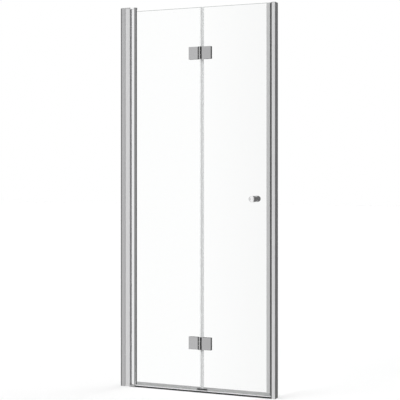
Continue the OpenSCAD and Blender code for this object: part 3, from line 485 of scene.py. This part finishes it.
def rounded_copy(node, material, radius, segments=2):
    """A copy of a solid with doubles merged, flat triangles joined and sharp edges rounded to a radius."""
    mesh = frame["nodes"][node].data.copy()
    mesh.name = node.capitalize()
    edit = bmesh.new()
    edit.from_mesh(mesh)
    bmesh.ops.remove_doubles(edit, verts=edit.verts, dist=SOLID_MERGE)
    bmesh.ops.dissolve_limit(edit, angle_limit=math.radians(FLAT), verts=edit.verts, edges=edit.edges)
    edit.to_mesh(mesh)
    edit.free()
    if "custom_normal" in mesh.attributes:
        mesh.attributes.remove(mesh.attributes["custom_normal"])
    mesh.shade_smooth()
    mesh.set_sharp_from_angle(angle=math.radians(SHARP))
    piece = finish_object(mesh, node, material)
    bevel = piece.modifiers.new("Rounded edges", "BEVEL")
    bevel.width, bevel.segments = radius, segments
    bevel.limit_method, bevel.angle_limit = "ANGLE", math.radians(CORNER)
    bevel.use_clamp_overlap, bevel.harden_normals = True, True


def grid_mesh(name, points, closed=False, smooth=True):
    """A mesh from a grid of points (rows, columns, 3): each cell is a face, and the rows may close in a ring."""
    rows, columns = points.shape[:2]
    i, j = np.meshgrid(np.arange(rows if closed else rows - 1), np.arange(columns - 1), indexing="ij")
    here, ahead = i * columns + j, (i + 1) % rows * columns + j
    corners = np.stack([here, ahead, ahead + 1, here + 1], -1)
    mesh = bpy.data.meshes.new(name)
    mesh.from_pydata(points.reshape(-1, 3).tolist(), [], corners.reshape(-1, 4).tolist())
    mesh.polygons.foreach_set("use_smooth", np.full(len(mesh.polygons), smooth))
    return mesh


def close_mesh(mesh):
    """Merges doubled points, turns all faces outwards and marks the sharp edges."""
    edit = bmesh.new()
    edit.from_mesh(mesh)
    bmesh.ops.remove_doubles(edit, verts=edit.verts, dist=TURNED_MERGE)
    bmesh.ops.recalc_face_normals(edit, faces=edit.faces)
    edit.to_mesh(mesh)
    edit.free()
    mesh.set_sharp_from_angle(angle=math.radians(TURNED_SHARP))
    return mesh


def rounded_profile(rows, steps=10):
    """A line through rows (r, h, rounding), where each inner corner becomes an arc.

    The arc runs between the points that lie one tangent length before and after the corner.
    """
    rows = np.asarray(rows, float)
    corners, radii = rows[:, :2], rows[1:-1, 2]
    line = [corners[:1]]
    for before, here, after, radius in zip(corners, corners[1:], corners[2:], radii):
        to_before, to_after = before - here, after - here
        a, b = to_before / np.linalg.norm(to_before), to_after / np.linalg.norm(to_after)
        half = math.acos(float(np.clip(a @ b, -1, 1))) / 2
        middle = here + (a + b) / np.linalg.norm(a + b) * radius / math.sin(half)
        start = here + a * radius / math.tan(half) - middle
        end = here + b * radius / math.tan(half) - middle
        t = np.linspace(0, 1, steps + 1)[:, None]
        spread = math.acos(float(np.clip(start @ end / radius**2, -1, 1)))
        line.append(middle + (np.sin((1 - t) * spread) * start + np.sin(t * spread) * end) / math.sin(spread))
    line.append(corners[-1:])
    return np.concatenate(line)


def turned_mesh(name, profile, centre, direction, around=96):
    """A lathe surface about Y: a point (r, h) of the profile becomes a circle of radius r at h along Y."""
    angle = np.linspace(0, 2 * np.pi, around, endpoint=False)
    r, h = profile[:, 0][None, :], profile[:, 1][None, :]
    points = np.empty((around, len(profile), 3))
    points[..., 0] = centre[0] + np.cos(angle)[:, None] * r
    points[..., 1] = centre[1] + direction * h
    points[..., 2] = centre[2] + np.sin(angle)[:, None] * r
    return close_mesh(grid_mesh(name, points, closed=True))


def dress(nodes, material):
    """Gives CAD nodes that stay as they are a material."""
    for node in nodes:
        data = frame["nodes"][node].data
        data.materials.clear()
        data.materials.append(material)


# ---- operators ----


class DOOR_OT_wall_profiles(bpy.types.Operator):
    """Dress the wall channels, the sliding profiles and the threshold rail"""

    bl_idname = "door.wall_profiles"
    bl_label = "Wall profiles"

    def execute(self, context):
        m = context.scene.door_metal
        wall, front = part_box("wall_channel_left")[0].x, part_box("threshold_rail")[0].y
        near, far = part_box("wall_channel_right")
        # Painted shade along the wall edge of the pivot-side channel
        lip = (("X", wall + m.shaded_lip_width, m.lip),)
        sill = (("Y", front + m.sill_width, m.sill),)
        # Painted shade: the wall side keeps the darker colour, and the edge beside the strike takes the strike
        # profile's dark colour
        sides = (("X", far.x - m.wall_side_shade, m.profile), ("X", near.x + m.strike_shade_edge, m.strike))
        for node, metal in (
            ("wall_channel_left", satin_metal("Channel metal", m.channel, m.satin, lip)),
            ("frame_profile_left", satin_metal("Profile metal", m.profile, m.satin)),
            ("wall_channel_right", satin_metal("Strike channel metal", m.side, m.satin, sides)),
            # The strike profile's dark colour is painted shade
            ("strike_profile", satin_metal("Strike metal", m.strike, m.satin)),
            ("threshold_rail", satin_metal("Rail metal", m.rail, m.matt, sill, metallic=0.0)),
        ):
            rounded_copy(node, metal, m.edge)
        return {"FINISHED"}


class DOOR_OT_caps(bpy.types.Operator):
    """Dress the moulded caps, the pivot foot and the top bracket"""

    bl_idname = "door.caps"
    bl_label = "Caps and pivots"

    def execute(self, context):
        m, s = context.scene.door_metal, context.scene.door_soft
        foot = moulded_plastic("Foot plastic", s.plastic, s.plastic_rough)
        caps = moulded_plastic("Cap plastic", s.cap_plastic, s.plastic_rough)
        nylon = moulded_plastic("White nylon", s.nylon, s.nylon_rough)
        plating = polished_metal("Cap plating", m.post, m.mirror)
        for node in ("top_cap_left", "top_cap_right"):
            rounded_copy(node, caps, m.edge)
        rounded_copy("bottom_pivot_foot", foot, 2 * m.edge)
        for node in ("bottom_post_cap", "top_post_cap", "top_pivot_bracket"):
            rounded_copy(node, plating, m.edge)
        dress(["bottom_pivot_bush", "top_pivot_bush", "upper_hinge_washers", "lower_hinge_washers"], nylon)
        return {"FINISHED"}


class DOOR_OT_post(bpy.types.Operator):
    """Dress the round post that carries the first pane"""

    bl_idname = "door.post"
    bl_label = "Pivot post"

    def execute(self, context):
        m = context.scene.door_metal
        low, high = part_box("pivot_post")
        # The stripe paints shade along the post's far side
        stripes = ((high.x - m.post_shade, high.x, m.post_limb),)
        dull = (low.x + m.post_dull, m.post_loss)
        polish = polished_metal("Post polish", m.post, m.mirror, stripes, dull=dull)
        rounded_copy("pivot_post", polish, m.edge)
        return {"FINISHED"}


class DOOR_OT_glass(bpy.types.Operator):
    """Make the two panes, with polished arrises"""

    bl_idname = "door.glass"
    bl_label = "Glass"

    def execute(self, context):
        s = context.scene.door_soft
        low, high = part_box("glass_pane_b")
        rim = (high.z - s.rim_height, s.glass_rim)
        # The glass's darkening towards the strike side is a painted reflection
        glass = clear_glass("Clear glass", s.glass, s.glass_painted_reflection, low.x - s.reflection_lead, high.x, rim, s.glass_light)
        for node in ("glass_pane_a", "glass_pane_b"):
            rounded_copy(node, glass, s.arris, segments=1)
        return {"FINISHED"}


class DOOR_OT_hinges(bpy.types.Operator):
    """Dress the fold hinges: plates, clamps, pads, pins and screws"""

    bl_idname = "door.hinges"
    bl_label = "Fold hinges"

    def execute(self, context):
        m, s = context.scene.door_metal, context.scene.door_soft
        low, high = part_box("upper_hinge_pin")
        axis = (low.x + high.x) / 2
        # Painted shade on both sides of the barrel and a painted highlight in its middle
        strips = ((BARREL_NEAR_SHADE, m.barrel_shade), (BARREL_HIGHLIGHT, m.barrel_highlight), (BARREL_FAR_SHADE, m.barrel_shade))
        stripes = [(axis + start, axis + end, tone) for (start, end), tone in strips]
        rough = m.mirror + m.hinge_haze
        # Plate b's plating is a shaded copy of plate a's, darkened by painted shade
        plating = {
            "a": polished_metal("Hinge plating", m.hinge, rough, stripes),
            "b": polished_metal("Shaded hinge plating", m.shaded_hinge, rough, stripes),
        }
        inner = polished_metal("Clamp plating", m.clamp, rough, metallic=m.clamp_metallic)
        steel = machined_steel("Screw steel", m.screw)
        rubber = matt_rubber("Pad rubber", s.rubber)
        for level in ("upper", "lower"):
            for side in "ab":
                rounded_copy(f"{level}_hinge_plate_{side}", plating[side], m.edge)
                rounded_copy(f"{level}_hinge_clamp_{side}", inner, m.edge)
                dress([f"{level}_hinge_screws_{side}"], steel)
                dress([f"{level}_hinge_pads_{side}"], rubber)
            dress([f"{level}_hinge_pin"], steel)
        dress(
            ["adjusting_screws_left", "adjusting_screws_right", "bracket_screws", "bottom_pivot_pin",
             "top_pivot_pin", "knob_stud"], steel,
        )
        covers = polished_metal("Cover plating", m.knob, m.mirror)
        dress(["screw_covers_left", "screw_covers_right"], covers)
        return {"FINISHED"}


class DOOR_OT_seals(bpy.types.Operator):
    """Dress the soft seals, their magnets, the gasket and the drip stops"""

    bl_idname = "door.seals"
    bl_label = "Seals"

    def execute(self, context):
        s = context.scene.door_soft
        rubber = matt_rubber("Stop rubber", s.rubber)
        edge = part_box("glass_pane_b")[0].x
        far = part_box("fold_seal_middle")[1].x
        lip = (edge - s.lip_gap, s.lip_alpha)
        # The fold seal's lighter far edge is painted light over the milky vinyl
        fold = milky_vinyl("Fold vinyl", s.vinyl, s.vinyl_alpha, lip, (edge, far, s.vinyl_painted_light, s.far_alpha))
        dress(["fold_seal_upper", "fold_seal_middle", "fold_seal_lower"], fold)
        dress(["bottom_seal_a", "bottom_seal_b"], milky_vinyl("Bottom vinyl", s.sill_vinyl, s.vinyl_alpha))
        dress(["door_magnet_seal"], milky_vinyl("Magnet vinyl", s.magnet_vinyl, s.magnet_alpha))
        dress(["strike_seal"], milky_vinyl("Strike vinyl", s.strike_vinyl, s.magnet_alpha))
        dress(["drip_stop_a", "drip_stop_b", "glazing_gasket", "knob_washers"], rubber)
        dress(["door_magnet", "strike_magnet"], matt_rubber("Magnet strip", s.magnet))
        return {"FINISHED"}


class DOOR_OT_knob(bpy.types.Operator):
    """Turn the two halves of the knob"""

    bl_idname = "door.knob"
    bl_label = "Knob"

    def execute(self, context):
        m = context.scene.door_metal
        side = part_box("knob_outer")[0].x
        # The stripe paints a dark reflection across the knob's rim
        stripes = ((side - m.knob_shade, side + m.knob_shade, m.knob_limb),)
        plating = polished_metal("Knob plating", m.knob, m.mirror, stripes)
        for node, way in (("knob_outer", -1), ("knob_inner", 1)):
            low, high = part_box(node)
            radius, length = (high.x - low.x) / 2, high.y - low.y
            neck, dish, depth = radius - m.knob_step, m.knob_dish, m.knob_depth
            centre = ((low.x + high.x) / 2, high.y if way < 0 else low.y, (low.z + high.z) / 2)
            profile = rounded_profile([  # radius, distance from the pane's side, rounding
                (0.0, 0.0, 0.0), (neck, 0.0, 0.0002), (neck, m.knob_neck, 0.0003), (radius, m.knob_neck, 0.0010),
                (radius, length, m.knob_rim), (dish, length, 0.0005),
                (dish * 0.72, length - depth * 0.62, 0.0030), (dish * 0.36, length - depth * 0.93, 0.0060),
                (0.0, length - depth, 0.0),
            ])
            finish_object(turned_mesh(node.capitalize(), profile, centre, way), node, plating)
        return {"FINISHED"}


class DOOR_OT_stage(bpy.types.Operator):
    """Set up the floor, the lamps, the reflection cards, the world and the camera"""

    bl_idname = "door.stage"
    bl_label = "Stage"

    def execute(self, context):
        st = context.scene.door_stage
        scene = context.scene
        scene.view_settings.view_transform = "Standard"
        self.make_world(scene, st)
        self.make_floor(scene, st)
        self.make_cards(scene)
        self.make_lamps(scene, st)
        camera = bpy.data.objects.new("Camera", bpy.data.cameras.new("Camera"))
        scene.collection.objects.link(camera)
        camera.location = st.eye
        camera.rotation_euler = (math.pi / 2, 0, st.turn)
        camera.data.sensor_width, camera.data.lens = SENSOR, st.lens
        camera.data.shift_y = st.rise
        camera.data.clip_start, camera.data.clip_end = NEAREST, FARTHEST
        scene.camera = camera
        return {"FINISHED"}

    def seen(self, g):
        """1 for camera, glossy and transmission rays, which meet the white background, and 0 for light."""
        path = g.node("ShaderNodeLightPath")
        wires = [Wire(g.tree, path.outputs[f"Is {kind} Ray"]) for kind in ("Camera", "Glossy", "Transmission")]
        return wires[0].most(wires[1]).most(wires[2])

    def make_world(self, scene, st):
        """A world that is white to look at and gives plain ambient light."""
        world = bpy.data.worlds.new("Studio")
        scene.world = world
        g = Shader(world)
        seen = self.seen(g)
        back = g.node("ShaderNodeBackground", Color=(1, 1, 1), Strength=st.ambient + seen * (1 - st.ambient))
        g.tree.links.new(back.outputs[0], g.node("ShaderNodeOutputWorld").inputs["Surface"])

    def make_floor(self, scene, st):
        """A plane at the tray's level."""
        ends = np.linspace(-FLOOR_REACH, FLOOR_REACH, 3)
        x, y = np.meshgrid(ends, ends, indexing="ij")
        mesh = grid_mesh("Floor", np.stack([x, y, np.full_like(x, -FLOOR_DROP)], -1), smooth=False)
        floor = bpy.data.objects.new("Floor", mesh)
        scene.collection.objects.link(floor)
        material, g = new_shader("Pale floor")
        matt = g.node("ShaderNodeBsdfDiffuse", Color=tuple(st.floor))
        white = g.node("ShaderNodeEmission", Color=(1, 1, 1), Strength=self.seen(g) * st.floor_glow)
        both = g.node("ShaderNodeAddShader")
        g.tree.links.new(matt.outputs[0], both.inputs[0])
        g.tree.links.new(white.outputs[0], both.inputs[1])
        g.finish(both)
        mesh.materials.append(material)
        floor.visible_glossy = floor.visible_transmission = False

    def make_cards(self, scene):
        """A ring of cards, grey in reflections and white through glass: its grey is a line through set points."""
        bearing = np.radians(np.linspace(-180, 180, 181))
        b, z = np.meshgrid(bearing, np.array([CARD_BOTTOM, CARD_TOP]), indexing="ij")
        ring = np.stack([CARD_RADIUS * np.sin(b), -CARD_RADIUS * np.cos(b), z], -1)
        mesh = grid_mesh("Reflection_cards", ring)
        grey = np.interp(np.degrees(b), CARD_BEARINGS, CARD_GREYS).ravel().astype(np.float32)
        mesh.attributes.new("grey", "FLOAT", "POINT").data.foreach_set("value", grey)
        cards = bpy.data.objects.new("Reflection_cards", mesh)
        scene.collection.objects.link(cards)
        material, g = new_shader("Grey cards")
        shade = g.wire("ShaderNodeAttribute", {"attribute_name": "grey"}, output="Fac")
        mirrored = g.wire("ShaderNodeLightPath", output="Glossy Depth") > 0.5
        g.finish(g.node("ShaderNodeEmission", Color=(1, 1, 1), Strength=1 - mirrored * (1 - shade)))
        mesh.materials.append(material)
        cards.visible_camera = cards.visible_diffuse = False
        cards.visible_shadow = cards.visible_volume_scatter = False

    def make_lamps(self, scene, st):
        """Two very soft parallel lamps: one from the upper left in front, a weaker one from behind."""
        for name, turn, height, strength in (
            ("Key", KEY_TURN, KEY_HEIGHT, st.key), ("Rear", REAR_TURN, REAR_HEIGHT, st.rear),
        ):
            lamp = bpy.data.lights.new(name, "SUN")
            lamp.energy, lamp.angle = strength, math.radians(LAMP_SPREAD)
            holder = bpy.data.objects.new(name, lamp)
            scene.collection.objects.link(holder)
            holder.rotation_euler = (math.radians(90 - height), 0, math.radians(turn))
            holder.visible_glossy = holder.visible_camera = False


STEPS = (
    DOOR_OT_wall_profiles, DOOR_OT_caps, DOOR_OT_post, DOOR_OT_glass, DOOR_OT_hinges,
    DOOR_OT_seals, DOOR_OT_knob, DOOR_OT_stage,
)


class DOOR_PT_panel(bpy.types.Panel):
    """Lists the steps that dress the door"""

    bl_label = "Shower door"
    bl_idname = "DOOR_PT_panel"
    bl_space_type = "VIEW_3D"
    bl_region_type = "UI"
    bl_category = "Shower door"

    def draw(self, context):
        for step in STEPS:
            self.layout.operator(step.bl_idname)


CLASSES = (MetalSettings, SoftSettings, StageSettings, *STEPS, DOOR_PT_panel)


def register():
    """Registers the classes and hangs the settings on the scene."""
    for cls in CLASSES:
        bpy.utils.register_class(cls)
    bpy.types.Scene.door_metal = PointerProperty(type=MetalSettings)
    bpy.types.Scene.door_soft = PointerProperty(type=SoftSettings)
    bpy.types.Scene.door_stage = PointerProperty(type=StageSettings)


def unregister():
    """Takes the settings and the classes away again."""
    del bpy.types.Scene.door_metal, bpy.types.Scene.door_soft, bpy.types.Scene.door_stage
    for cls in reversed(CLASSES):
        bpy.utils.unregister_class(cls)


def main():
    """Registers the classes and runs every step in order."""
    register()
    for step in STEPS:
        group, name = step.bl_idname.split(".")
        getattr(getattr(bpy.ops, group), name)()


if __name__ == "__main__":
    main()
